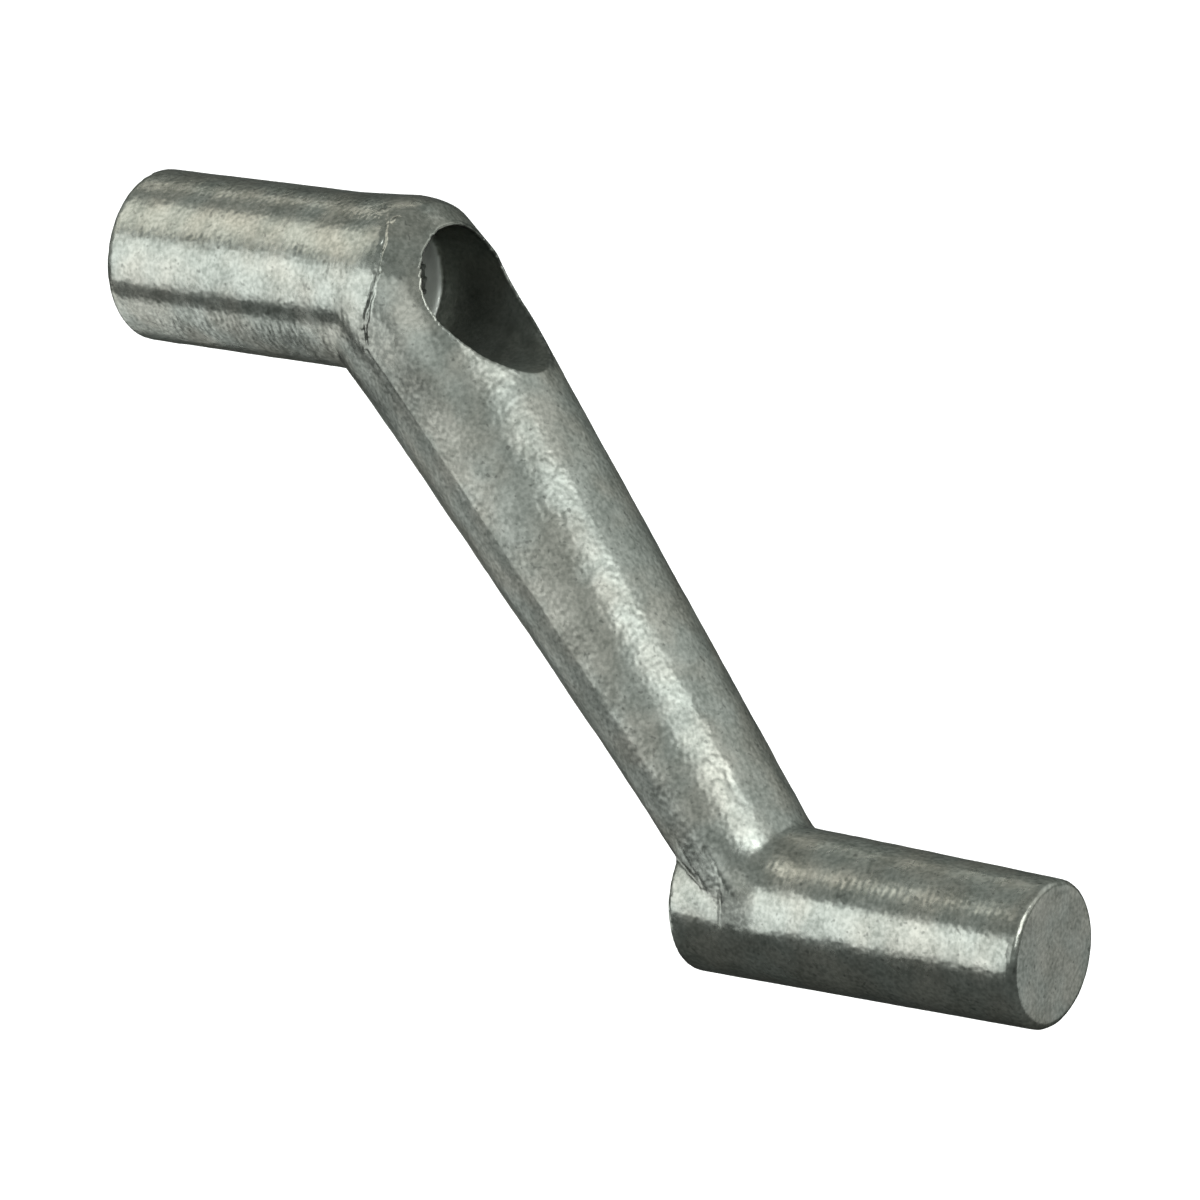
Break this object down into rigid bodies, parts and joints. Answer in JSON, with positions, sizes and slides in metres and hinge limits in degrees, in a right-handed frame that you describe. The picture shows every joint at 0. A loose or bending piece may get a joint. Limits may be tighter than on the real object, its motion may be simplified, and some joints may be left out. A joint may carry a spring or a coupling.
{
  "type": "crank handle",
  "caption": "One-piece cast crank handle: a round splined hub, a slanting tapered arm with a deep screw recess at its elbow, and a round grip parallel to the hub.",
  "frame": {"origin": "centre of the hub's open mouth, where the shaft goes in", "axes": "+X along the hub from its mouth towards the elbow and the grip's end, +Z from the grip up to the hub, +Y across the handle; the handle is symmetric about y = 0"},
  "size_m": [0.0972, 0.0168, 0.0667],
  "materials": {
    "cast_zinc": "raw die-cast zinc alloy, unpolished and unpainted, with flow marks and a fine grain"
  },
  "bodies": {
    "root": {"crank_handle": "cast_zinc"}
  },
  "joints": []
}
